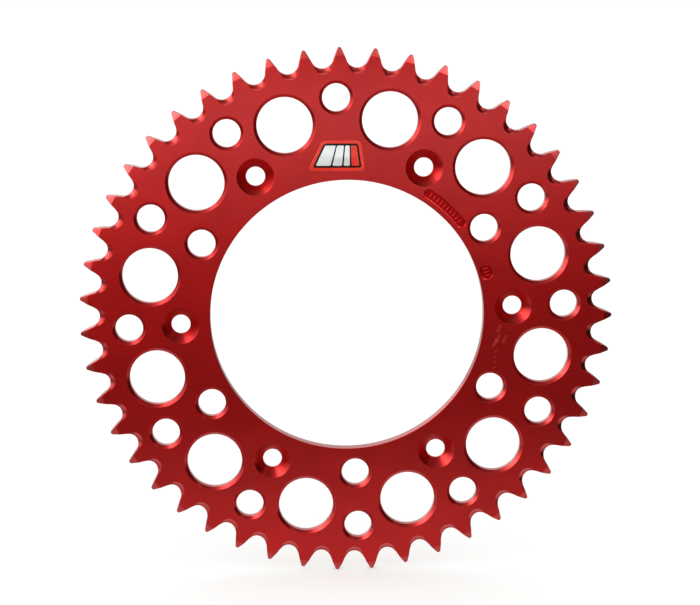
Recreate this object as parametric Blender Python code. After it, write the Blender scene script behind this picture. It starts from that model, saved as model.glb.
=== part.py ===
"""Rear sprocket of a motorcycle: one toothed, drilled and countersunk aluminium plate with a thin badge.

The sprocket stands upright with its axis along Y. Its front, countersunk face looks towards -Y, and
the origin is the centre of the bore at mid-thickness. Each shape is drawn in the plate's own frame,
x to the right, y up and z out of the front face, and an empty turns that frame upright.
"""

import math

import bmesh
import bpy

# Chain: 5/8 inch pitch with a 10.16 mm roller.
TEETH = 47
CHAIN_PITCH = 0.015875
ROLLER_RADIUS = 0.00508
PITCH_RADIUS = CHAIN_PITCH / (2 * math.sin(math.pi / TEETH))
TOOTH_ANGLE = 2 * math.pi / TEETH

# Plate.
THICKNESS = 0.0059
HALF = THICKNESS / 2
TIP_RADIUS = 0.1229
TIP_THICKNESS = 0.0031
FACET_RADIUS = 0.1192

# One tooth gap: a seat arc for the roller, then a slightly convex flank up to the tip.
SEAT_CLEARANCE = 0.00002
SEAT_RADIUS = ROLLER_RADIUS + SEAT_CLEARANCE
SEAT_HALF_ANGLE = math.radians(66.5)
FLANK_RADIUS = 0.065
FLANK_LENGTH = 0.0071
HALF_SEAT_STEPS = 3
FLANK_STEPS = 2

# Mud groove at the foot of each tooth gap, sunk with a ball cutter: deep in the front, shallow in the back.
GROOVE_CENTRE_RADIUS = 0.1153
GROOVE_BALL_RADIUS = 0.005
FRONT_GROOVE_DEPTH = 0.00214
BACK_GROOVE_DEPTH = 0.0010
GROOVE_FLAT_SHARE = 0.35
GROOVE_SEGMENTS = 12

# Angles run anticlockwise from +X, seen from the front.
FIRST_TIP_ANGLE = math.radians(-0.29)
PATTERN_ANGLE = math.radians(2.86)
PATTERN_PLACES = 12
PLACE_ANGLE = 2 * math.pi / PATTERN_PLACES

# Bore, with a small edge break on both faces.
BORE_RADIUS = 0.0631
BORE_BREAK = 0.0002
BORE_SEGMENTS = 72

# Drilled holes: the radius of each kind and of the circle that its centres lie on.
LARGE_RADIUS = 0.0127
LARGE_CIRCLE = 0.0924
SMALL_RADIUS = 0.00635
OUTER_CIRCLE = 0.1005
INNER_CIRCLE = 0.07484
FRONT_CHAMFER = 0.0014
BACK_CHAMFER = 0.0014
LARGE_SEGMENTS = 24
SMALL_SEGMENTS = 14

# Six bolt holes, countersunk at 90 degrees from the front.
BOLT_RADIUS = 0.00437
BOLT_CIRCLE = 0.07684
COUNTERSINK_DEPTH = 0.0042
BOLT_BREAK = 0.0004
BOLT_SEGMENTS = 16

# The badge has two slanted ends. It floats a hair off the face, so that its solid stays clear of the plate's.
BADGE_WIDTH = 0.0272
BADGE_HEIGHT = 0.0138
BADGE_LEFT_SLANT = 0.0075
BADGE_RIGHT_SLANT = 0.0020
BADGE_CORNER = 0.0022
BADGE_CORNER_STEPS = 4
BADGE_THICKNESS = 0.0003
BADGE_GAP = 0.0003
BADGE_RADIUS = 0.0744
BADGE_ANGLE = math.radians(94)
BADGE_PLACE = 3

PLATE_COLOUR = (0.42, 0.012, 0.012)
PLATE_ROUGHNESS = 0.36
PLATE_METALLIC = 0.9
BADGE_COLOUR = (0.75, 0.05, 0.02)
BADGE_ROUGHNESS = 0.4

# Edges that turn by more than this stay sharp on the round surfaces.
CREASE_ANGLE = math.radians(33)

# How far a cutter runs past the surface that it cuts.
OVERRUN = 0.0005


def clear_scene():
    for item in list(bpy.data.objects):
        bpy.data.objects.remove(item, do_unlink=True)


def polar(radius, angle):
    return radius * math.cos(angle), radius * math.sin(angle)


def add_layers(bm, layers):
    """Adds one closed body that joins the outlines in layers, each a list of points, from back to front."""
    rings = [[bm.verts.new(point) for point in layer] for layer in layers]
    for lower, upper in zip(rings, rings[1:]):
        for i in range(len(lower)):
            j = (i + 1) % len(lower)
            bm.faces.new((lower[i], lower[j], upper[j], upper[i]))
    bm.faces.new(reversed(rings[0]))
    bm.faces.new(rings[-1])


def add_turned(bm, profile, segments, centre=(0.0, 0.0), first_angle=0.0):
    """Adds a turned body: profile lists (radius, height) from back to front."""
    layers = []
    for radius, height in profile:
        layer = []
        for i in range(segments):
            x, y = polar(radius, first_angle + 2 * math.pi * i / segments)
            layer.append((centre[0] + x, centre[1] + y, height))
        layers.append(layer)
    add_layers(bm, layers)


def new_object(name, bm, parent):
    bmesh.ops.recalc_face_normals(bm, faces=bm.faces)
    mesh = bpy.data.meshes.new(name)
    bm.to_mesh(mesh)
    bm.free()
    item = bpy.data.objects.new(name, mesh)
    item.parent = parent
    bpy.context.scene.collection.objects.link(item)
    return item


def shade_round(item):
    item.data.shade_smooth()
    item.data.set_sharp_from_angle(angle=CREASE_ANGLE)


def new_material(name, colour, roughness, metallic=0.0):
    material = bpy.data.materials.new(name)
    material.use_nodes = True
    shader = material.node_tree.nodes["Principled BSDF"]
    shader.inputs["Base Color"].default_value = (*colour, 1.0)
    shader.inputs["Roughness"].default_value = roughness
    shader.inputs["Metallic"].default_value = metallic
    return material


def cut(target, name, bm):
    """Cuts the bodies in bm out of target with an exact Boolean."""
    cutter = new_object(name, bm, target.parent)
    shade_round(cutter)
    cutter.hide_render = True
    cutter.display_type = "WIRE"
    boolean = target.modifiers.new(name, "BOOLEAN")
    boolean.operation = "DIFFERENCE"
    boolean.solver = "EXACT"
    boolean.object = cutter


def blank_body():
    """The turned blank, with one flat side for each tooth and the bevels that thin the tooth tips."""
    to_corner = 1 / math.cos(math.pi / TEETH)
    profile = [
        (FACET_RADIUS * to_corner, -HALF),
        (TIP_RADIUS * to_corner, -TIP_THICKNESS / 2),
        (TIP_RADIUS * to_corner, TIP_THICKNESS / 2),
        (FACET_RADIUS * to_corner, HALF),
    ]
    bm = bmesh.new()
    add_turned(bm, profile, TEETH, first_angle=FIRST_TIP_ANGLE + TOOTH_ANGLE / 2)
    return bm


def gap_half_outline():
    """Points (sideways, outwards) from the bottom of a tooth gap up one flank, past the tip."""
    points = []
    for i in range(HALF_SEAT_STEPS + 1):
        turn = SEAT_HALF_ANGLE * i / HALF_SEAT_STEPS
        points.append((SEAT_RADIUS * math.sin(turn), PITCH_RADIUS - SEAT_RADIUS * math.cos(turn)))
    start_x, start_y = points[-1]
    lean = math.pi / 2 - SEAT_HALF_ANGLE
    for i in range(1, FLANK_STEPS + 1):
        leaned = lean + FLANK_LENGTH / FLANK_RADIUS * i / FLANK_STEPS
        x = start_x + FLANK_RADIUS * (math.cos(lean) - math.cos(leaned))
        y = start_y + FLANK_RADIUS * (math.sin(leaned) - math.sin(lean))
        points.append((x, y))
    points.append((points[-1][0], points[-1][1] + 2 * OVERRUN))
    return points


def tooth_gaps():
    half = gap_half_outline()
    outline = [(-x, y) for x, y in reversed(half[1:])] + half
    bm = bmesh.new()
    for tooth in range(TEETH):
        angle = FIRST_TIP_ANGLE + TOOTH_ANGLE * (tooth + 0.5)
        layers = []
        for height in (-HALF - OVERRUN, HALF + OVERRUN):
            layer = []
            for sideways, outwards in outline:
                x = outwards * math.cos(angle) - sideways * math.sin(angle)
                y = outwards * math.sin(angle) + sideways * math.cos(angle)
                layer.append((x, y, height))
            layers.append(layer)
        add_layers(bm, layers)
    return bm


def groove_profile(depth):
    """The side of the ball cutter, as a cone from its flat to its rim on a face: (radius, height)."""
    rim = math.sqrt(GROOVE_BALL_RADIUS**2 - (GROOVE_BALL_RADIUS - depth) ** 2)
    flat = GROOVE_FLAT_SHARE * rim
    slope = (rim - flat) / depth
    return [(flat, HALF - depth), (rim + slope * OVERRUN, HALF + OVERRUN)]


def mud_grooves():
    front = groove_profile(FRONT_GROOVE_DEPTH)
    back = [(radius, -height) for radius, height in reversed(groove_profile(BACK_GROOVE_DEPTH))]
    bm = bmesh.new()
    for tooth in range(TEETH):
        angle = FIRST_TIP_ANGLE + TOOTH_ANGLE * (tooth + 0.5)
        centre = polar(GROOVE_CENTRE_RADIUS, angle)
        for profile in (front, back):
            add_turned(bm, profile, GROOVE_SEGMENTS, centre, angle)
    return bm


def hole_profile(radius, front_chamfer, back_chamfer):
    """A through hole with a 45 degree chamfer on each face, drawn as the body that it removes."""
    return [
        (radius + back_chamfer + OVERRUN, -HALF - OVERRUN),
        (radius, -HALF + back_chamfer),
        (radius, HALF - front_chamfer),
        (radius + front_chamfer + OVERRUN, HALF + OVERRUN),
    ]


def drilled_holes():
    """The bore, the six bolt holes and the lightening holes."""
    large = hole_profile(LARGE_RADIUS, FRONT_CHAMFER, BACK_CHAMFER)
    small = hole_profile(SMALL_RADIUS, FRONT_CHAMFER, BACK_CHAMFER)
    bolt = hole_profile(BOLT_RADIUS, COUNTERSINK_DEPTH, BOLT_BREAK)
    bore = hole_profile(BORE_RADIUS, BORE_BREAK, BORE_BREAK)
    bm = bmesh.new()
    add_turned(bm, bore, BORE_SEGMENTS)
    for place in range(PATTERN_PLACES):
        angle = PATTERN_ANGLE + PLACE_ANGLE * place
        add_turned(bm, large, LARGE_SEGMENTS, polar(LARGE_CIRCLE, angle + PLACE_ANGLE / 2))
        add_turned(bm, small, SMALL_SEGMENTS, polar(OUTER_CIRCLE, angle))
        if place % 2 == 0:
            add_turned(bm, bolt, BOLT_SEGMENTS, polar(BOLT_CIRCLE, angle))
        # The plate is solid under the badge.
        elif place != BADGE_PLACE:
            add_turned(bm, small, SMALL_SEGMENTS, polar(INNER_CIRCLE, angle))
    return bm


def sprocket_plate(parent):
    plate = new_object("sprocket_plate", blank_body(), parent)
    cut(plate, "tooth_gap_cutter", tooth_gaps())
    cut(plate, "mud_groove_cutter", mud_grooves())
    cut(plate, "hole_cutter", drilled_holes())
    red = new_material("red_anodised", PLATE_COLOUR, PLATE_ROUGHNESS, PLATE_METALLIC)
    plate.data.materials.append(red)
    return plate


def badge(parent):
    """A thin plate with slanted ends and rounded corners."""
    right = BADGE_WIDTH / 2
    top = BADGE_HEIGHT / 2
    top_left = (BADGE_LEFT_SLANT - right, top)
    top_right = (right - BADGE_RIGHT_SLANT, top)
    corners = [(-right, -top), (right, -top), top_right, top_left]
    bm = bmesh.new()
    verts = [bm.verts.new((x, y, 0.0)) for x, y in corners]
    bm.faces.new(verts)
    bmesh.ops.bevel(
        bm, geom=verts, offset=BADGE_CORNER, segments=BADGE_CORNER_STEPS, profile=0.5, affect="VERTICES"
    )
    moved = bmesh.ops.extrude_face_region(bm, geom=bm.faces[:])["geom"]
    for vert in moved:
        if isinstance(vert, bmesh.types.BMVert):
            vert.co.z += BADGE_THICKNESS
    item = new_object("badge", bm, parent)
    shade_round(item)
    item.location = (*polar(BADGE_RADIUS, BADGE_ANGLE), HALF + BADGE_GAP)
    item.data.materials.append(new_material("badge_enamel", BADGE_COLOUR, BADGE_ROUGHNESS))
    return item


def main():
    clear_scene()
    axis = bpy.data.objects.new("sprocket_axis", None)
    axis.rotation_euler = (math.pi / 2, 0.0, 0.0)
    bpy.context.scene.collection.objects.link(axis)
    sprocket_plate(axis)
    badge(axis)


main()
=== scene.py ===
"""Rear sprocket of a motorcycle in red anodised aluminium, standing in a plain pale studio.

The plate is drawn in its own frame, x to the right, y up and z out of the front face. A point in the
plate's plane is the complex number x + iy, and stand_up() turns the finished mesh upright, with the
front towards -Y. Sizes are in metres, and angles in radians where nothing else is said.
"""

import math

import bmesh
import bpy
import numpy as np
from mathutils import Euler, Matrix, Vector, geometry, kdtree


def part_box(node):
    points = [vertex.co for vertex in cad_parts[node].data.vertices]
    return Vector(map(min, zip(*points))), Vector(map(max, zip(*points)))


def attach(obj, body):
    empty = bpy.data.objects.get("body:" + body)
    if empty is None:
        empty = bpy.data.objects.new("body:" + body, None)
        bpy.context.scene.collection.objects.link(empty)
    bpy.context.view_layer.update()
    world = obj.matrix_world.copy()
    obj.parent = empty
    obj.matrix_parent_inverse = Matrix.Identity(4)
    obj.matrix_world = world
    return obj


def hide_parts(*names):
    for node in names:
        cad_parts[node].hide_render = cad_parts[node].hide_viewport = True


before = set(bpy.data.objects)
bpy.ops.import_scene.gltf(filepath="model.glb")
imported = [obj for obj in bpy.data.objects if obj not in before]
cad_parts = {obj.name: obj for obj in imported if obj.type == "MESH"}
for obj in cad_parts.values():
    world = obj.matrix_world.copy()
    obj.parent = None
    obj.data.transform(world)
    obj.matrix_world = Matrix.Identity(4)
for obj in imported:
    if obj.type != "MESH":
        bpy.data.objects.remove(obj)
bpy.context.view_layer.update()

# The plate's box, from the frame.
plate_low, plate_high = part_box("sprocket_plate")
badge_low, badge_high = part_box("badge")
HALF = (plate_high[1] - plate_low[1]) / 2
TIP_RADIUS = plate_high[0]
FLOOR_HEIGHT = plate_low[2]

# Chain: 5/8 inch pitch with a 10.16 mm roller.
TEETH = 47
CHAIN_PITCH = 0.015875
PITCH_RADIUS = CHAIN_PITCH / (2 * math.sin(math.pi / TEETH))
TOOTH_ANGLE = 2 * math.pi / TEETH
FIRST_TIP_ANGLE = math.radians(-0.29)
GAP_ANGLES = [FIRST_TIP_ANGLE + TOOTH_ANGLE * (tooth + 0.5) for tooth in range(TEETH)]

# One tooth gap: a seat arc for the roller, a slightly convex flank and a rounded tip corner.
SEAT_RADIUS = 0.0051
SEAT_HALF_ANGLE = math.radians(66.5)
SEAT_STEPS = 8
FLANK_RADIUS = 0.065
FLANK_LENGTH = 0.0071
FLANK_STEPS = 5
FLANK_SAMPLES = 200
TIP_ROUNDING = 0.0002
TIP_STEPS = 5

# The turned bevels that thin the tooth tips. The half angle is that of the arc drawn on each tooth.
FACET_RADIUS = 0.1192
TIP_THICKNESS = 0.0031
FACET_SLOPE = (HALF - TIP_THICKNESS / 2) / (TIP_RADIUS - FACET_RADIUS)
FACET_HALF_ANGLE = 0.03

# The mud groove at the foot of each tooth gap is a part of a ball, as a ball cutter leaves it. Curves
# follow its rim at depths of a step times the rim's rounding, and its bowl at shares of the rim's
# radius. All of them run a little past the tooth gap's edge.
GROOVE_CENTRE_RADIUS = 0.1153
GROOVE_BALL_RADIUS = 0.005
GROOVE_DEPTHS = {"front": 0.00214, "back": 0.0010}
GROOVE_ROUNDING = 0.0001
GROOVE_RIM_STEPS = {"front": (-1, -0.5, 0, 0.5, 1), "back": (-1, 0, 1)}
GROOVE_SHARES = (0.92, 0.80, 0.68, 0.55, 0.42)
GROOVE_OVERRUN = 0.15

# Holes. A chamfer is as wide as it is deep.
PATTERN_ANGLE = math.radians(2.86)
PATTERN_PLACES = 12
PLACE_ANGLE = 2 * math.pi / PATTERN_PLACES
BADGE_PLACE = 3
BORE_RADIUS = 0.0631
LARGE_RADIUS = 0.0127
LARGE_CIRCLE = 0.0924
SMALL_RADIUS = 0.00635
OUTER_CIRCLE = 0.1005
INNER_CIRCLE = 0.07484
BOLT_RADIUS = 0.00437
BOLT_CIRCLE = 0.07684
COUNTERSINK = 0.0042
FRONT_CHAMFER = 0.0014
BACK_CHAMFER = 0.0014
BORE_CHAMFER = 0.0002
BOLT_BACK_CHAMFER = 0.0004

# Two pockets in the front face. Each follows a path along the bore: a long arc, and a short line that
# reaches as far to each side of its middle as SHORT_POCKET_REACH.
LONG_POCKET_CIRCLE = 0.0677
LONG_POCKET_ANGLES = np.radians([39.5, 56.7])
LONG_POCKET_HALF = 0.0023
LONG_POCKET_POINTS = 24
SHORT_POCKET_CIRCLE = 0.0672
SHORT_POCKET_ANGLE = math.radians(17.5)
SHORT_POCKET_HALF = 0.0029
SHORT_POCKET_REACH = 0.0008
POCKET_WALL = 0.0005
POCKET_DEPTH = 0.0002

# Raised bars on the pockets' floors, all pointing away from the bore's centre. Their places are shares
# of the long pocket's angles and shifts along the short one from its middle. Their ends reach inwards
# and outwards from the pocket's path.
BAR_HALF = 0.00034
BAR_WALL = 0.00032
BAR_HEIGHT = 0.00012
LONG_POCKET_BAR_SHARES = np.linspace(0.06, 0.94, 10)
LONG_POCKET_BAR_REACH = (-0.0010, 0.0009)
SHORT_POCKET_BAR_SHIFTS = (-0.0017, 0.0, 0.0017)
SHORT_POCKET_BAR_REACH = (-0.0011, 0.0011)

# Etched strokes: the radius and the angle in degrees of each one's middle, then half of their length,
# their lean from the x axis, and half of their width and the width of their walls.
ETCH_DEPTH = 0.00003
LONG_STROKES = ((0.0696, -10.8), (0.0707, -8.8), (0.0738, -8.8), (0.0705, -5.0))
LONG_STROKE = (0.0016, math.radians(65), 0.0008, 0.0005)
SHORT_STROKES = ((0.0710, -14.0), (0.0714, -16.2), (0.0720, -18.0), (0.0729, -19.8))
SHORT_STROKE = (0.0005, math.radians(35), 0.00035, 0.0002)

# Places across the wall of a pocket, bar or stroke at which a curve follows it.
WALL_SHARES = (0.0, 0.15, 0.3, 0.5, 0.7, 0.85, 1.0)

# Half the width of the small bevel at the rim of a chamfer or facet. It is also the depth from which a
# point counts as wholly on that surface.
CREASE = 0.00003

# The rounding of the plate's edges: the turns at which it has points, and its radius at the teeth and
# in the holes.
EDGE_TURNS = np.radians([0, 30, 60, 90])
TOOTH_EDGE = 0.00028
HOLE_EDGE = 0.00010

# The mesh: the longest step along a curve, the distance at which two points become one, and twice the
# area below which a triangle is left out.
STEP = 0.0009
MERGE_DISTANCE = 2e-7
SLIVER = 1e-13

# How strongly each surface shows in the plate's point attributes, from 0 to 1.
# Chamfers, grooves and facets get a paler tint: partly the turned metal's own colour, partly a painted
# highlight that makes their highlights pink.
CHAMFER_HIGHLIGHT_TINT = 0.3
GROOVE_HIGHLIGHT_TINT = 0.55
FACET_HIGHLIGHT_TINT = 0.9
ETCHED_BAR = 0.8
# Painted shade: how much darker the countersinks are coloured, standing in for the shade inside them.
COUNTERSINK_SHADE = 0.35

# Badge: a border, a dark field on it that shows as a line round the stripes, and the stripes. Its sides
# slant inwards towards the top by the two slants. STRIPES gives where each stripe starts and ends, as
# shares of the width inside the line.
BADGE_WIDTH = badge_high[0] - badge_low[0]
BADGE_HEIGHT = badge_high[2] - badge_low[2]
BADGE_CENTRE = complex((badge_low[0] + badge_high[0]) / 2, (badge_low[2] + badge_high[2]) / 2)
BADGE_LEFT_SLANT = 0.0065
BADGE_RIGHT_SLANT = 0.002
BADGE_BORDER = 0.0014
BADGE_LINE = 0.0009
STRIPES = ((0.0, 0.34), (0.38, 0.60), (0.64, 0.78), (0.82, 1.0))

# The badge's films: the rounding of their corners, and the heights of their undersides and tops above
# the plate's face. Their edges are rounded over FILM_ROUNDING of their thickness, through a point at
# FILM_SHOULDER of that.
BORDER_CORNER = 0.0022
FIELD_CORNER = 0.0013
STRIPE_CORNER = 0.0006
CORNER_STEPS = 8
BORDER_HEIGHTS = (0.00002, 0.00018)
FIELD_HEIGHTS = (0.00016, 0.00022)
STRIPE_HEIGHTS = (0.00020, 0.00027)
FILM_ROUNDING = 0.6
FILM_SHOULDER = 0.3

# Colours, as linear red, green and blue.
DEEP_RED = (0.52, 0.001, 0.001)
BRIGHT_RED = (0.60, 0.003, 0.002)
# Paler red of turned surfaces: partly their own tint, partly a painted highlight colour that turns their
# highlights pink.
TURNED_HIGHLIGHT_RED = (0.55, 0.055, 0.050)
WORN_RED = (0.30, 0.14, 0.13)
# Painted shade: the darker red painted into the pockets and countersinks for the shade in those recesses.
RECESS_SHADE_RED = (0.40, 0.0, 0.001)
ETCHED_RED = (0.85, 0.08, 0.07)
BORDER_REDS = ((0.72, 0.016, 0.004), (0.82, 0.034, 0.012))
FIELD_BLACKS = ((0.004, 0.003, 0.003), (0.010, 0.008, 0.008))
STRIPE_SILVERS = ((0.72, 0.74, 0.72), (0.90, 0.92, 0.90))
FLOOR_GREYS = ((0.59, 0.61, 0.60), (0.61, 0.63, 0.62))
FLOOR_LIGHT = (0.98, 1.0, 0.99)
WORLD_LIGHT = (0.985, 1.0, 0.992)

# Studio.
FLOOR_SIZE = 12.0
FLOOR_GLOW = 0.47
MIRRORED_FLOOR_GAP = 0.001
TENT_RADIUS = 4.0

# Softboxes: azimuth and elevation in degrees, distance, width, height and radiance. Azimuth 0 is in
# front of the sprocket, and 90 to the left of it as seen from there.
SOFTBOXES = {
    "left_softbox": (54, 31, 0.36, 0.32, 0.34, 1.4),
    "left_softbox_core": (54, 31, 0.35, 0.17, 0.18, 2.0),
    "left_softbox_edge": (53, 25, 0.56, 1.0, 0.90, 0.40),
    "right_softbox": (-33, 34, 1.0, 0.60, 0.54, 1.2),
    "right_softbox_core": (-31, 31, 0.98, 0.36, 0.32, 2.2),
    "right_softbox_edge": (-33, 28, 1.02, 1.0, 1.0, 0.40),
    "top_softbox": (180, 80, 1.0, 0.9, 0.28, 1.8),
}

# Camera: lens and sensor in millimetres.
CAMERA_LENS = 90.743
CAMERA_SENSOR = 36.0
CAMERA_PLACE = (-0.03301, -0.8000, 0.15898)
CAMERA_DIP = math.radians(10.825)
CAMERA_TURN = math.radians(-2.457)


# --- Curves in the plate's plane ---------------------------------------------------------------


def polar(radius, angle):
    return radius * np.exp(1j * np.asarray(angle))


def arc(centre, radius, middle, half_angle):
    """An open curve round centre, from middle - half_angle to middle + half_angle."""
    count = max(3, math.ceil(2 * half_angle * radius / STEP))
    return centre + polar(radius, np.linspace(middle - half_angle, middle + half_angle, count + 1))


def ring(centre, radius):
    """A closed circle, as a loop without its repeated last point."""
    return arc(centre, radius, 0.0, math.pi)[:-1]


def rounded_corner(start, corner, end, t):
    """Points at t, from 0 to 1, of a curve that leaves start towards corner and bends to end."""
    return (1 - t) ** 2 * start + 2 * t * (1 - t) * corner + t**2 * end


def at_radii(curve, radii):
    """The places where a curve that leads outwards passes through radii."""
    return np.interp(radii, abs(curve), curve.real) + 1j * np.interp(radii, abs(curve), curve.imag)


def segment_distance(points, start, end):
    """Distance of points from the straight line between start and end."""
    run = end - start
    share = np.clip(((points - start) * np.conj(run)).real / abs(run) ** 2, 0, 1)
    return abs(points - start - share * run)


def loop_normals(loop):
    """The outward unit normal at each point of an anticlockwise loop."""
    along = np.roll(loop, -1) - np.roll(loop, 1)
    return -1j * along / abs(along)


def half_gap():
    """Points from the bottom of a tooth gap to its tip corner: real is outwards, imaginary sideways."""
    seat_turns = np.linspace(0, SEAT_HALF_ANGLE, SEAT_STEPS + 1)
    seat = PITCH_RADIUS - SEAT_RADIUS * np.exp(-1j * seat_turns)
    lean = math.pi / 2 - SEAT_HALF_ANGLE
    turned = np.linspace(lean, lean + FLANK_LENGTH / FLANK_RADIUS, FLANK_SAMPLES)
    sideways = seat[-1].imag + FLANK_RADIUS * (math.cos(lean) - np.cos(turned))
    outwards = seat[-1].real + FLANK_RADIUS * (np.sin(turned) - math.sin(lean))
    curve = outwards + 1j * sideways
    radii = np.linspace(abs(seat[-1]), TIP_RADIUS - TIP_ROUNDING, FLANK_STEPS + 1)
    flank = at_radii(curve, radii[1:])
    corner = at_radii(curve, TIP_RADIUS)
    land_start = corner * np.exp(1j * TIP_ROUNDING / TIP_RADIUS)
    t = np.linspace(0, 1, TIP_STEPS + 1)[1:]
    return np.concatenate([seat, flank, rounded_corner(flank[-1], corner, land_start, t)])


def tooth_outline():
    """The whole toothed edge, anticlockwise, with one point in the middle of each tooth's tip."""
    half = half_gap()
    gap = np.concatenate([np.conj(half[:0:-1]), half])
    pieces = []
    for angle in GAP_ANGLES:
        pieces.append(gap * np.exp(1j * angle))
        pieces.append(polar(TIP_RADIUS, [angle + TOOTH_ANGLE / 2]))
    return np.concatenate(pieces)


# --- Holes and height of the faces -------------------------------------------------------------


def edge_insets(radius):
    """Distances from an edge to the points of the rounding that breaks it."""
    return radius * (1 - np.cos(EDGE_TURNS))


def edge_drop(distances, radius):
    """How far a rounded edge lies below the face, at distances from the edge."""
    inside = np.clip(radius - distances, 0, radius)
    return radius - np.sqrt(radius**2 - inside**2)


class Hole:
    """A round through hole with a chamfer on each face."""

    def __init__(self, centre, radius, front, back):
        self.centre = complex(centre)
        self.radius = radius
        self.chamfers = {"front": front, "back": back}

    def rings(self):
        """The rounding of its edge, then the small bevel at the rim of each chamfer."""
        radii = set(self.radius + edge_insets(HOLE_EDGE))
        for chamfer in self.chamfers.values():
            radii.add(self.radius + chamfer - CREASE)
            radii.add(self.radius + chamfer + CREASE)
        return [ring(self.centre, radius) for radius in sorted(radii)]

    def drop(self, side, points):
        """Depth of its chamfer on a side."""
        chamfer = self.chamfers[side]
        inside = self.radius + chamfer - abs(points - self.centre)
        return np.clip(inside, 0, chamfer)


def make_holes():
    """The bore, then the holes of each of the pattern's places. There is no small hole under the badge."""
    holes = [Hole(0, BORE_RADIUS, BORE_CHAMFER, BORE_CHAMFER)]
    for place in range(PATTERN_PLACES):
        angle = PATTERN_ANGLE + PLACE_ANGLE * place
        large = polar(LARGE_CIRCLE, angle + PLACE_ANGLE / 2)
        holes.append(Hole(large, LARGE_RADIUS, FRONT_CHAMFER, BACK_CHAMFER))
        holes.append(Hole(polar(OUTER_CIRCLE, angle), SMALL_RADIUS, FRONT_CHAMFER, BACK_CHAMFER))
        if place % 2 == 0:
            holes.append(Hole(polar(BOLT_CIRCLE, angle), BOLT_RADIUS, COUNTERSINK, BOLT_BACK_CHAMFER))
        elif place != BADGE_PLACE:
            holes.append(Hole(polar(INNER_CIRCLE, angle), SMALL_RADIUS, FRONT_CHAMFER, BACK_CHAMFER))
    return holes


def groove_radius(side, depth):
    """Radius of the circle on which the ball lies at a depth below the face, less than 0 above it."""
    above = GROOVE_BALL_RADIUS - GROOVE_DEPTHS[side] + depth
    return math.sqrt(GROOVE_BALL_RADIUS**2 - above**2)


def groove_arcs():
    """The rounded rim of each mud groove and a few curves across it, on the metal side only."""
    offset = PITCH_RADIUS - GROOVE_CENTRE_RADIUS
    radii = []
    for side, steps in GROOVE_RIM_STEPS.items():
        radii += [groove_radius(side, step * GROOVE_ROUNDING) for step in steps]
    radii += [groove_radius("front", 0) * share for share in GROOVE_SHARES]
    curves = []
    for radius in radii:
        crossing = (offset**2 + radius**2 - SEAT_RADIUS**2) / (2 * offset * radius)
        half_angle = math.pi - math.acos(max(-1.0, crossing)) + GROOVE_OVERRUN
        for angle in GAP_ANGLES:
            centre = polar(GROOVE_CENTRE_RADIUS, angle)
            curves.append(arc(centre, radius, angle + math.pi, half_angle))
    return curves


def groove_drop(side, points):
    """Depth of the mud grooves, rounded at the rim, measured from the nearest groove's centre."""
    nearest = np.round((np.angle(points) - GAP_ANGLES[0]) / TOOTH_ANGLE)
    centres = polar(GROOVE_CENTRE_RADIUS, GAP_ANGLES[0] + nearest * TOOTH_ANGLE)
    from_centre = np.minimum(abs(points - centres), GROOVE_BALL_RADIUS)
    depth = np.sqrt(GROOVE_BALL_RADIUS**2 - from_centre**2) - GROOVE_BALL_RADIUS + GROOVE_DEPTHS[side]
    rounded = (depth + GROOVE_ROUNDING) ** 2 / (4 * GROOVE_ROUNDING)
    return np.where(abs(depth) < GROOVE_ROUNDING, rounded, np.maximum(depth, 0))


def facet_arcs():
    """The small bevel where the face meets the turned bevel, across each tooth."""
    curves = []
    for radius in (FACET_RADIUS - CREASE, FACET_RADIUS + CREASE):
        for angle in GAP_ANGLES:
            curves.append(arc(0, radius, angle + TOOTH_ANGLE / 2, FACET_HALF_ANGLE))
    return curves


def facet_drop(points):
    return np.maximum(abs(points) - FACET_RADIUS, 0) * FACET_SLOPE


# --- Marks pressed into the front face ---------------------------------------------------------


class Mark:
    """A round-ended channel along a path, or a raised bar where its depth is negative."""

    def __init__(self, path, half_width, wall, depth):
        self.path = np.asarray(path)
        self.half_width = half_width
        self.wall = wall
        self.depth = depth

    def outline(self, radius):
        """The closed curve at a distance from the path."""
        along = np.gradient(self.path)
        along = along / abs(along)
        count = max(3, math.ceil(math.pi * radius / STEP))
        turns = np.linspace(-math.pi / 2, math.pi / 2, count + 1)[1:-1]
        end = self.path[-1] + radius * along[-1] * np.exp(1j * turns)
        start = self.path[0] - radius * along[0] * np.exp(1j * turns)
        right = self.path - 1j * along * radius
        left = self.path + 1j * along * radius
        return np.concatenate([right, end, left[::-1], start])

    def rings(self):
        """Curves down its rounded wall."""
        return [self.outline(self.half_width - share * self.wall) for share in WALL_SHARES]

    def cover(self, points):
        """1 on its floor, 0 outside it, and rounded off at the top and the foot of its wall."""
        distance = segment_distance(points, self.path[:-1, None], self.path[1:, None]).min(axis=0)
        down = np.clip((self.half_width - distance) / self.wall, 0, 1)
        return down**2 * (3 - 2 * down)

    def drop(self, points):
        return self.cover(points) * self.depth


def total_cover(marks, points):
    return sum(mark.cover(points) for mark in marks)


def make_pockets():
    """Plain stand-ins for two stamped marks: a long pocket along the bore and a short wide one."""
    long_path = polar(LONG_POCKET_CIRCLE, np.linspace(*LONG_POCKET_ANGLES, LONG_POCKET_POINTS))
    short_ends = np.array([-SHORT_POCKET_REACH, SHORT_POCKET_REACH])
    short_path = polar(1, SHORT_POCKET_ANGLE) * (SHORT_POCKET_CIRCLE + 1j * short_ends)
    return [
        Mark(long_path, LONG_POCKET_HALF, POCKET_WALL, POCKET_DEPTH),
        Mark(short_path, SHORT_POCKET_HALF, POCKET_WALL, POCKET_DEPTH),
    ]


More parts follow.
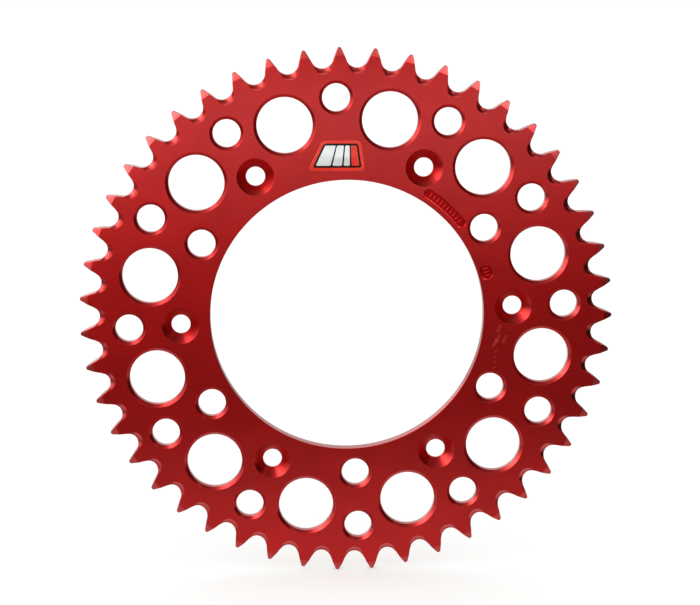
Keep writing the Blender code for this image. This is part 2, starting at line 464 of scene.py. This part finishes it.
def make_bars():
    """Thin raised bars on the pockets' floors."""
    first, last = LONG_POCKET_ANGLES
    paths = []
    for share in LONG_POCKET_BAR_SHARES:
        bar = LONG_POCKET_CIRCLE + np.array(LONG_POCKET_BAR_REACH)
        paths.append(polar(1, first + share * (last - first)) * bar)
    for shift in SHORT_POCKET_BAR_SHIFTS:
        bar = SHORT_POCKET_CIRCLE + 1j * shift + np.array(SHORT_POCKET_BAR_REACH)
        paths.append(polar(1, SHORT_POCKET_ANGLE) * bar)
    return [Mark(path, BAR_HALF, BAR_WALL, -BAR_HEIGHT) for path in paths]


def make_etching():
    """Faint strokes, only just below the face: four slanted ones, then four small ones below them."""
    strokes = []
    for places, sizes in ((LONG_STROKES, LONG_STROKE), (SHORT_STROKES, SHORT_STROKE)):
        half_length, lean, half_width, wall = sizes
        for radius, degrees in places:
            middle = polar(radius, math.radians(degrees))
            path = middle + polar(1, lean) * np.array([-half_length, half_length])
            strokes.append(Mark(path, half_width, wall, ETCH_DEPTH))
    return strokes


# --- The plate's mesh --------------------------------------------------------------------------


class Sketch:
    """The plate's plane cut into triangles along all of its curves."""

    def __init__(self):
        self.points = []
        self.edges = []

    def add(self, curve, closed=True):
        first = len(self.points)
        self.points.extend(Vector((p.real, p.imag)) for p in curve)
        last = first + len(curve) - 1
        self.edges.extend((i, i + 1) for i in range(first, last))
        if closed:
            self.edges.append((last, first))

    def triangulate(self):
        """Returns the points, as complex numbers, and the triangles, anticlockwise."""
        found = geometry.delaunay_2d_cdt(self.points, self.edges, [], 0, MERGE_DISTANCE, False)
        points = np.array([complex(p[0], p[1]) for p in found[0]])
        triangles = np.array(found[2])
        a, b, c = points[triangles].T
        doubled_area = (np.conj(b - a) * (c - a)).imag
        clockwise = doubled_area < 0
        triangles[clockwise] = triangles[clockwise][:, ::-1]
        return points, triangles[abs(doubled_area) > SLIVER]


def inside_loop(points, loop):
    """Whether each point is inside a loop that every ray from the origin crosses once."""
    order = np.argsort(np.angle(loop))
    angles = np.angle(loop)[order]
    return abs(points) < np.interp(np.angle(points), angles, abs(loop)[order], period=2 * math.pi)


def distance_to_loop(points, loop):
    """Distance of each point from a loop, measured to the two edges at the loop's nearest point."""
    tree = kdtree.KDTree(len(loop))
    for index, place in enumerate(loop):
        tree.insert((place.real, place.imag, 0.0), index)
    tree.balance()
    nearest = np.array([tree.find((p.real, p.imag, 0.0))[1] for p in points])
    before = segment_distance(points, loop[nearest - 1], loop[nearest])
    after = segment_distance(points, loop[nearest], loop[(nearest + 1) % len(loop)])
    return np.minimum(before, after)


def boundary_edges(triangles):
    """The edges that only one triangle has, each in that triangle's direction."""
    edges = np.concatenate([triangles[:, [0, 1]], triangles[:, [1, 2]], triangles[:, [2, 0]]])
    keys = np.sort(edges, axis=1)
    _, where, counts = np.unique(keys, axis=0, return_index=True, return_counts=True)
    return edges[where[counts == 1]]


def stand_up(points, heights):
    """Where points of the plane are in the scene, at heights in front of the plate's middle."""
    return np.column_stack(np.broadcast_arrays(points.real, -np.asarray(heights), points.imag))


def new_piece(name, vertices, faces, material):
    mesh = bpy.data.meshes.new(name)
    mesh.from_pydata([tuple(v) for v in vertices], [], [tuple(int(i) for i in f) for f in faces])
    mesh.validate()
    mesh.shade_smooth()
    mesh.materials.append(material)
    piece = bpy.data.objects.new(name, mesh)
    bpy.context.scene.collection.objects.link(piece)
    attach(piece, "root")
    return piece


def plate_triangles(outline, holes, marks):
    """One face of the plate as points and triangles, open at its holes and tooth gaps."""
    sketch = Sketch()
    for inset in edge_insets(TOOTH_EDGE):
        sketch.add(outline - inset * loop_normals(outline))
    for feature in holes + marks:
        for curve in feature.rings():
            sketch.add(curve)
    for curve in groove_arcs() + facet_arcs():
        sketch.add(curve, closed=False)
    points, triangles = sketch.triangulate()
    middles = points[triangles].mean(axis=1)
    kept = inside_loop(middles, outline)
    for hole in holes:
        kept &= abs(middles - hole.centre) > hole.radius
    used, triangles = np.unique(triangles[kept], return_inverse=True)
    return points[used], triangles.reshape(-1, 3)


def side_shape(side, points, holes):
    """How far a side is cut down at each point, and how much of the turned surfaces' paler tint, partly a
    painted highlight colour, it has there.
    """
    grooves = groove_drop(side, points)
    facets = facet_drop(points)
    chamfers = np.max([hole.drop(side, points) for hole in holes], axis=0)
    shares = [
        CHAMFER_HIGHLIGHT_TINT * np.clip(chamfers / CREASE, 0, 1),
        GROOVE_HIGHLIGHT_TINT * np.clip(grooves / CREASE, 0, 1),
        FACET_HIGHLIGHT_TINT * np.clip(facets / CREASE, 0, 1),
    ]
    return np.max([grooves, facets, chamfers], axis=0), np.max(shares, axis=0)


def store(piece, name, front, back):
    """Keeps a value at each point of the plate's two sides, for its material to read."""
    layer = piece.data.attributes.new(name, "FLOAT", "POINT")
    layer.data.foreach_set("value", np.concatenate([front, back]))


def plate_piece(material):
    """The whole plate, which stands for the CAD's, with what its material has to know at each point."""
    outline = tooth_outline()
    holes = make_holes()
    pockets, bars, etching = make_pockets(), make_bars(), make_etching()
    marks = pockets + bars + etching
    points, triangles = plate_triangles(outline, holes, marks)

    from_teeth = distance_to_loop(points, outline)
    from_holes = np.min([abs(points - hole.centre) - hole.radius for hole in holes], axis=0)
    broken = edge_drop(from_teeth, TOOTH_EDGE) + edge_drop(from_holes, HOLE_EDGE)
    front_cut, front_highlight_tint = side_shape("front", points, holes)
    back_cut, back_highlight_tint = side_shape("back", points, holes)
    front_drop = front_cut + broken + sum(mark.drop(points) for mark in marks)
    back_drop = back_cut + broken

    count = len(points)
    vertices = np.concatenate([stand_up(points, HALF - front_drop), stand_up(points, back_drop - HALF)])
    edges = boundary_edges(triangles)
    walls = np.column_stack([edges[:, 0], edges[:, 0] + count, edges[:, 1] + count, edges[:, 1]])
    faces = list(triangles) + list(triangles[:, ::-1] + count) + list(walls)
    piece = new_piece("plate_fine", vertices, faces, material)

    at_edge = np.clip(1 - from_teeth / TOOTH_EDGE, 0, 1) + np.clip(1 - from_holes / HOLE_EDGE, 0, 1)
    etched = total_cover(etching, points) + ETCHED_BAR * total_cover(bars, points)
    bolts = [hole for hole in holes if hole.radius == BOLT_RADIUS]
    countersunk = np.max([hole.drop("front", points) > 0 for hole in bolts], axis=0)
    # Painted shade in the recesses: the pockets' floors and the countersinks are marked to be coloured
    # darker and coated less.
    recess_shade = np.maximum(total_cover(pockets, points) ** 2, COUNTERSINK_SHADE * countersunk)
    store(piece, "edge_wear", at_edge, at_edge)
    # The turned values: a paler tint on chamfers, grooves and facets, partly their own colour and partly a
    # painted highlight.
    store(piece, "turned", front_highlight_tint, back_highlight_tint)
    store(piece, "etched", etched, 0 * etched)
    store(piece, "recess_shade", recess_shade, 0 * recess_shade)
    weighted = piece.modifiers.new("weighted_normals", "WEIGHTED_NORMAL")
    weighted.mode = "FACE_AREA_WITH_ANGLE"
    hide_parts("sprocket_plate")


# --- Badge -------------------------------------------------------------------------------------


def badge_outline(low, high, inset, rounding, start=0.0, end=1.0):
    """A slice of the badge between two heights, from start to end of its width, with rounded corners."""
    left_inset = inset * math.hypot(1, BADGE_LEFT_SLANT / BADGE_HEIGHT)
    corners = []
    for share, height in ((start, low), (end, low), (end, high), (start, high)):
        rise = height / BADGE_HEIGHT + 0.5
        left = BADGE_LEFT_SLANT * rise - BADGE_WIDTH / 2 + left_inset
        right = BADGE_WIDTH / 2 - BADGE_RIGHT_SLANT * rise - inset
        corners.append(BADGE_CENTRE + complex(left + share * (right - left), height))
    outline = []
    t = np.linspace(0, 1, CORNER_STEPS + 1)
    for before, here, after in zip(corners[-1:] + corners[:-1], corners, corners[1:] + corners[:1]):
        into = here + rounding * (before - here) / abs(before - here)
        out_of = here + rounding * (after - here) / abs(after - here)
        outline.append(rounded_corner(into, here, out_of, t))
    return np.concatenate(outline)


def film_piece(name, outline, heights, material):
    """A thin film with a softly rounded edge, between two heights above the plate's face."""
    bottom, top = HALF + heights[0], HALF + heights[1]
    normals = loop_normals(outline)
    soft = (top - bottom) * FILM_ROUNDING
    shoulder = FILM_SHOULDER * soft
    layers = [(0.0, bottom), (0.0, top - soft), (shoulder, top - shoulder), (soft, top)]
    count = len(outline)
    vertices = np.concatenate([stand_up(outline - inset * normals, height) for inset, height in layers])
    top_layer = (len(layers) - 1) * count
    faces = [tuple(range(count - 1, -1, -1)), tuple(range(top_layer, top_layer + count))]
    for low in range(0, top_layer, count):
        high = low + count
        for i in range(count):
            j = (i + 1) % count
            faces.append((low + i, low + j, high + j, high + i))
    return new_piece(name, vertices, faces, material)


def badge_pieces(border, field, silver):
    """Four plain slanted stripes on a dark field inside a red border: three silver, the last one red."""
    top = BADGE_HEIGHT / 2
    film = film_piece("badge_film", badge_outline(-top, top, 0.0, BORDER_CORNER), BORDER_HEIGHTS, border)
    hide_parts("badge")
    top -= BADGE_BORDER
    outline = badge_outline(-top, top, BADGE_BORDER, FIELD_CORNER)
    film_piece("badge_field", outline, FIELD_HEIGHTS, field)
    top -= BADGE_LINE
    inset = BADGE_BORDER + BADGE_LINE
    for number, (start, end) in enumerate(STRIPES, 1):
        outline = badge_outline(-top, top, inset, STRIPE_CORNER, start, end)
        material = border if end == 1.0 else silver
        stripe = film_piece(f"badge_stripe_{number}", outline, STRIPE_HEIGHTS, material)


# --- Materials ---------------------------------------------------------------------------------


class Shader:
    """A short way to write a node material."""

    def __init__(self, name):
        self.material = bpy.data.materials.new(name)
        self.material.use_nodes = True
        self.tree = self.material.node_tree
        self.principled = self.tree.nodes["Principled BSDF"]

    def put(self, socket, value):
        if isinstance(value, bpy.types.NodeSocket):
            self.tree.links.new(value, socket)
        else:
            socket.default_value = value

    def set(self, **values):
        """Sets inputs of the surface. An underscore in a name stands for a space."""
        for name, value in values.items():
            self.put(self.principled.inputs[name.replace("_", " ")], value)

    def coordinates(self):
        return self.tree.nodes.new("ShaderNodeTexCoord").outputs["Object"]

    def noise(self, scale, detail=3.0, roughness=0.5):
        """Noise with so many cycles a metre along x, y and z."""
        mapping = self.tree.nodes.new("ShaderNodeMapping")
        self.put(mapping.inputs["Vector"], self.coordinates())
        mapping.inputs["Scale"].default_value = scale
        node = self.tree.nodes.new("ShaderNodeTexNoise")
        self.put(node.inputs["Vector"], mapping.outputs["Vector"])
        node.inputs["Scale"].default_value = 1.0
        node.inputs["Detail"].default_value = detail
        node.inputs["Roughness"].default_value = roughness
        return node.outputs["Fac"]

    def range(self, value, low, high, new_low=0.0, new_high=1.0):
        node = self.tree.nodes.new("ShaderNodeMapRange")
        self.put(node.inputs["Value"], value)
        limits = {"From Min": low, "From Max": high, "To Min": new_low, "To Max": new_high}
        for name, number in limits.items():
            node.inputs[name].default_value = number
        return node.outputs["Result"]

    def math(self, operation, a, b):
        node = self.tree.nodes.new("ShaderNodeMath")
        node.operation = operation
        self.put(node.inputs[0], a)
        self.put(node.inputs[1], b)
        return node.outputs["Value"]

    def add(self, a, b):
        return self.math("ADD", a, b)

    def multiply(self, a, b):
        return self.math("MULTIPLY", a, b)

    def mix(self, factor, a, b):
        node = self.tree.nodes.new("ShaderNodeMix")
        node.data_type = "RGBA"
        self.put(node.inputs["Factor"], factor)
        for socket, colour in ((node.inputs["A"], a), (node.inputs["B"], b)):
            self.put(socket, colour if isinstance(colour, bpy.types.NodeSocket) else (*colour, 1.0))
        return node.outputs["Result"]

    def attribute(self, name):
        node = self.tree.nodes.new("ShaderNodeAttribute")
        node.attribute_name = name
        return node.outputs["Fac"]

    def bump(self, height, strength, distance):
        node = self.tree.nodes.new("ShaderNodeBump")
        self.put(node.inputs["Height"], height)
        node.inputs["Strength"].default_value = strength
        node.inputs["Distance"].default_value = distance
        return node.outputs["Normal"]


def red_anodised():
    """Red dye over brushed metal under a clear oxide layer: grain, patches, worn edges, painted shade in
    recesses and a paler tint that partly paints highlights.
    """
    shader = Shader("red_anodised")
    grain = shader.noise((60.0, 60.0, 900.0), detail=4.0, roughness=0.6)
    scratches = shader.noise((240.0, 240.0, 3600.0), detail=2.0)
    patches = shader.noise((42.0, 42.0, 60.0), detail=3.0)
    blend = shader.add(shader.multiply(grain, 0.15), shader.multiply(patches, 0.85))
    wear = shader.multiply(shader.attribute("edge_wear"), shader.range(patches, 0.3, 0.7, 0.1, 0.5))
    recess_shade = shader.attribute("recess_shade")
    etched = shader.attribute("etched")
    colour = shader.mix(shader.range(blend, 0.35, 0.65), DEEP_RED, BRIGHT_RED)
    # Paler tint on turned surfaces: partly their own colour, partly a painted highlight that makes them
    # shine pinker.
    colour = shader.mix(shader.attribute("turned"), colour, TURNED_HIGHLIGHT_RED)
    colour = shader.mix(wear, colour, WORN_RED)
    # Painted shade: the pockets and countersinks are coloured darker red.
    colour = shader.mix(shader.multiply(recess_shade, 0.8), colour, RECESS_SHADE_RED)
    colour = shader.mix(shader.multiply(etched, 0.5), colour, ETCHED_RED)
    shader.set(
        Base_Color=colour,
        Metallic=1.0,
        Roughness=shader.range(scratches, 0.3, 0.7, 0.27, 0.31),
        # Painted shade: less coat, so less reflection, in the pockets and countersinks.
        Coat_Weight=shader.range(recess_shade, 0.0, 1.0, 0.5, 0.1),
        Coat_Roughness=0.15,
        Coat_IOR=1.55,
        Normal=shader.bump(shader.add(grain, scratches), strength=0.016, distance=0.00003),
    )
    return shader.material


def printed_film(name, colours, metallic, roughness, gloss):
    """Glossy print with a faint mottle, between two colours."""
    shader = Shader(name)
    mottle = shader.noise((900.0, 900.0, 900.0), detail=3.0)
    sweep = shader.noise((90.0, 90.0, 240.0), detail=1.0)
    shader.set(
        Base_Color=shader.mix(shader.range(sweep, 0.35, 0.65), *colours),
        Metallic=metallic,
        Roughness=shader.range(mottle, 0.3, 0.7, roughness - 0.06, roughness + 0.06),
        Specular_IOR_Level=gloss,
        Coat_Weight=gloss,
        Coat_Roughness=0.1,
        Normal=shader.bump(mottle, strength=0.05, distance=0.00002),
    )
    return shader.material


# --- Studio ------------------------------------------------------------------------------------


def floor_sheet(name, height, material):
    mesh = bpy.data.meshes.new(name)
    corners = [(-1, -1), (1, -1), (1, 1), (-1, 1)]
    mesh.from_pydata([(FLOOR_SIZE * x, FLOOR_SIZE * y, height) for x, y in corners], [], [(0, 1, 2, 3)])
    mesh.materials.append(material)
    sheet = bpy.data.objects.new(name, mesh)
    bpy.context.scene.collection.objects.link(sheet)
    return sheet


def pale_floor():
    """A plain pale floor. The sprocket's metal mirrors the darker reflected_floor in its place."""
    shader = Shader("studio_floor")
    mottle = shader.noise((8.0, 8.0, 8.0), detail=2.0)
    shader.set(
        Base_Color=shader.mix(mottle, *FLOOR_GREYS),
        Roughness=0.7,
        Specular_IOR_Level=0.2,
        Emission_Color=(*FLOOR_LIGHT, 1.0),
        Emission_Strength=FLOOR_GLOW,
    )
    floor = floor_sheet("floor", FLOOR_HEIGHT, shader.material)
    floor.visible_glossy = False


def glow_material(name, strengths):
    """Plain white light whose strength at each place comes from strengths(shader, x, y)."""
    shader = Shader(name)
    split = shader.tree.nodes.new("ShaderNodeSeparateXYZ")
    shader.put(split.inputs["Vector"], shader.coordinates())
    shader.set(
        Base_Color=(0.0, 0.0, 0.0, 1.0),
        Specular_IOR_Level=0.0,
        Emission_Color=(1.0, 1.0, 1.0, 1.0),
        Emission_Strength=strengths(shader, split.outputs["X"], split.outputs["Y"]),
    )
    shader.material.cycles.emission_sampling = "NONE"
    return shader.material


def seen_only_in_reflections(item):
    item.visible_camera = False
    item.visible_diffuse = False
    item.visible_transmission = False
    item.visible_shadow = False


def floor_strengths(shader, x, y):
    """Pale under the sprocket, darker in front of it and to its sides, and brightest far off."""
    near = shader.range(y, -0.30, -0.05, 0.22, 0.74)
    right = shader.range(x, 0.15, 0.45, 1.0, 0.05)
    left = shader.range(x, -0.45, -0.20, 0.25, 1.0)
    far = shader.range(y, -3.5, -0.8, 2.6, 0.0)
    return shader.add(shader.multiply(near, shader.multiply(right, left)), far)


def tent_strengths(shader, x, y):
    """Grey on the left, fading to nearly black on the right, and pale behind."""
    side = shader.range(x, -0.5 * TENT_RADIUS, 0.6 * TENT_RADIUS, 0.70, 0.03)
    back = shader.range(y, 0.2 * TENT_RADIUS, 0.7 * TENT_RADIUS, 0.0, 0.50)
    return shader.add(side, back)


def mirrored_room():
    """What the metal mirrors besides the softboxes: a grey tent and a floor that is dark in front."""
    glow = glow_material("floor_glow", floor_strengths)
    floor = floor_sheet("reflected_floor", FLOOR_HEIGHT - MIRRORED_FLOOR_GAP, glow)
    bm = bmesh.new()
    bmesh.ops.create_uvsphere(bm, u_segments=48, v_segments=24, radius=TENT_RADIUS)
    mesh = bpy.data.meshes.new("tent")
    bm.to_mesh(mesh)
    bm.free()
    mesh.materials.append(glow_material("tent_glow", tent_strengths))
    tent = bpy.data.objects.new("tent", mesh)
    bpy.context.scene.collection.objects.link(tent)
    seen_only_in_reflections(floor)
    seen_only_in_reflections(tent)


def softbox(name, azimuth, elevation, distance, width, height, radiance):
    """A flat soft light that faces the sprocket."""
    turn, lift = math.radians(azimuth), math.radians(elevation)
    away = Vector((-math.sin(turn) * math.cos(lift), -math.cos(turn) * math.cos(lift), math.sin(lift)))
    light = bpy.data.lights.new(name, "AREA")
    light.shape = "RECTANGLE"
    light.size = width
    light.size_y = height
    light.energy = radiance * math.pi * width * height
    item = bpy.data.objects.new(name, light)
    item.location = away * distance
    item.rotation_mode = "QUATERNION"
    item.rotation_quaternion = away.to_track_quat("Z", "Y")
    item.visible_camera = False
    item.visible_diffuse = False
    bpy.context.scene.collection.objects.link(item)


def studio_lights():
    """A softbox on each side of the camera, each brightest in its middle, and a weak one overhead."""
    for name, values in SOFTBOXES.items():
        softbox(name, *values)


def studio_world():
    """Even white light from all round."""
    world = bpy.data.worlds.new("studio")
    bpy.context.scene.world = world
    world.use_nodes = True
    background = world.node_tree.nodes["Background"]
    background.inputs["Color"].default_value = (*WORLD_LIGHT, 1.0)
    background.inputs["Strength"].default_value = 1.0


def camera():
    data = bpy.data.cameras.new("camera")
    data.sensor_width = CAMERA_SENSOR
    data.lens = CAMERA_LENS
    item = bpy.data.objects.new("camera", data)
    item.location = CAMERA_PLACE
    item.rotation_euler = Euler((math.pi / 2 - CAMERA_DIP, 0.0, CAMERA_TURN))
    bpy.context.scene.collection.objects.link(item)
    bpy.context.scene.camera = item


def main():
    plate_piece(red_anodised())
    badge_pieces(
        printed_film("badge_border", BORDER_REDS, metallic=0.0, roughness=0.30, gloss=0.3),
        printed_film("badge_black", FIELD_BLACKS, metallic=0.0, roughness=0.32, gloss=0.12),
        printed_film("badge_silver", STRIPE_SILVERS, metallic=0.3, roughness=0.36, gloss=0.4),
    )
    pale_floor()
    mirrored_room()
    studio_lights()
    studio_world()
    camera()
    bpy.context.scene.view_settings.view_transform = "Standard"


main()
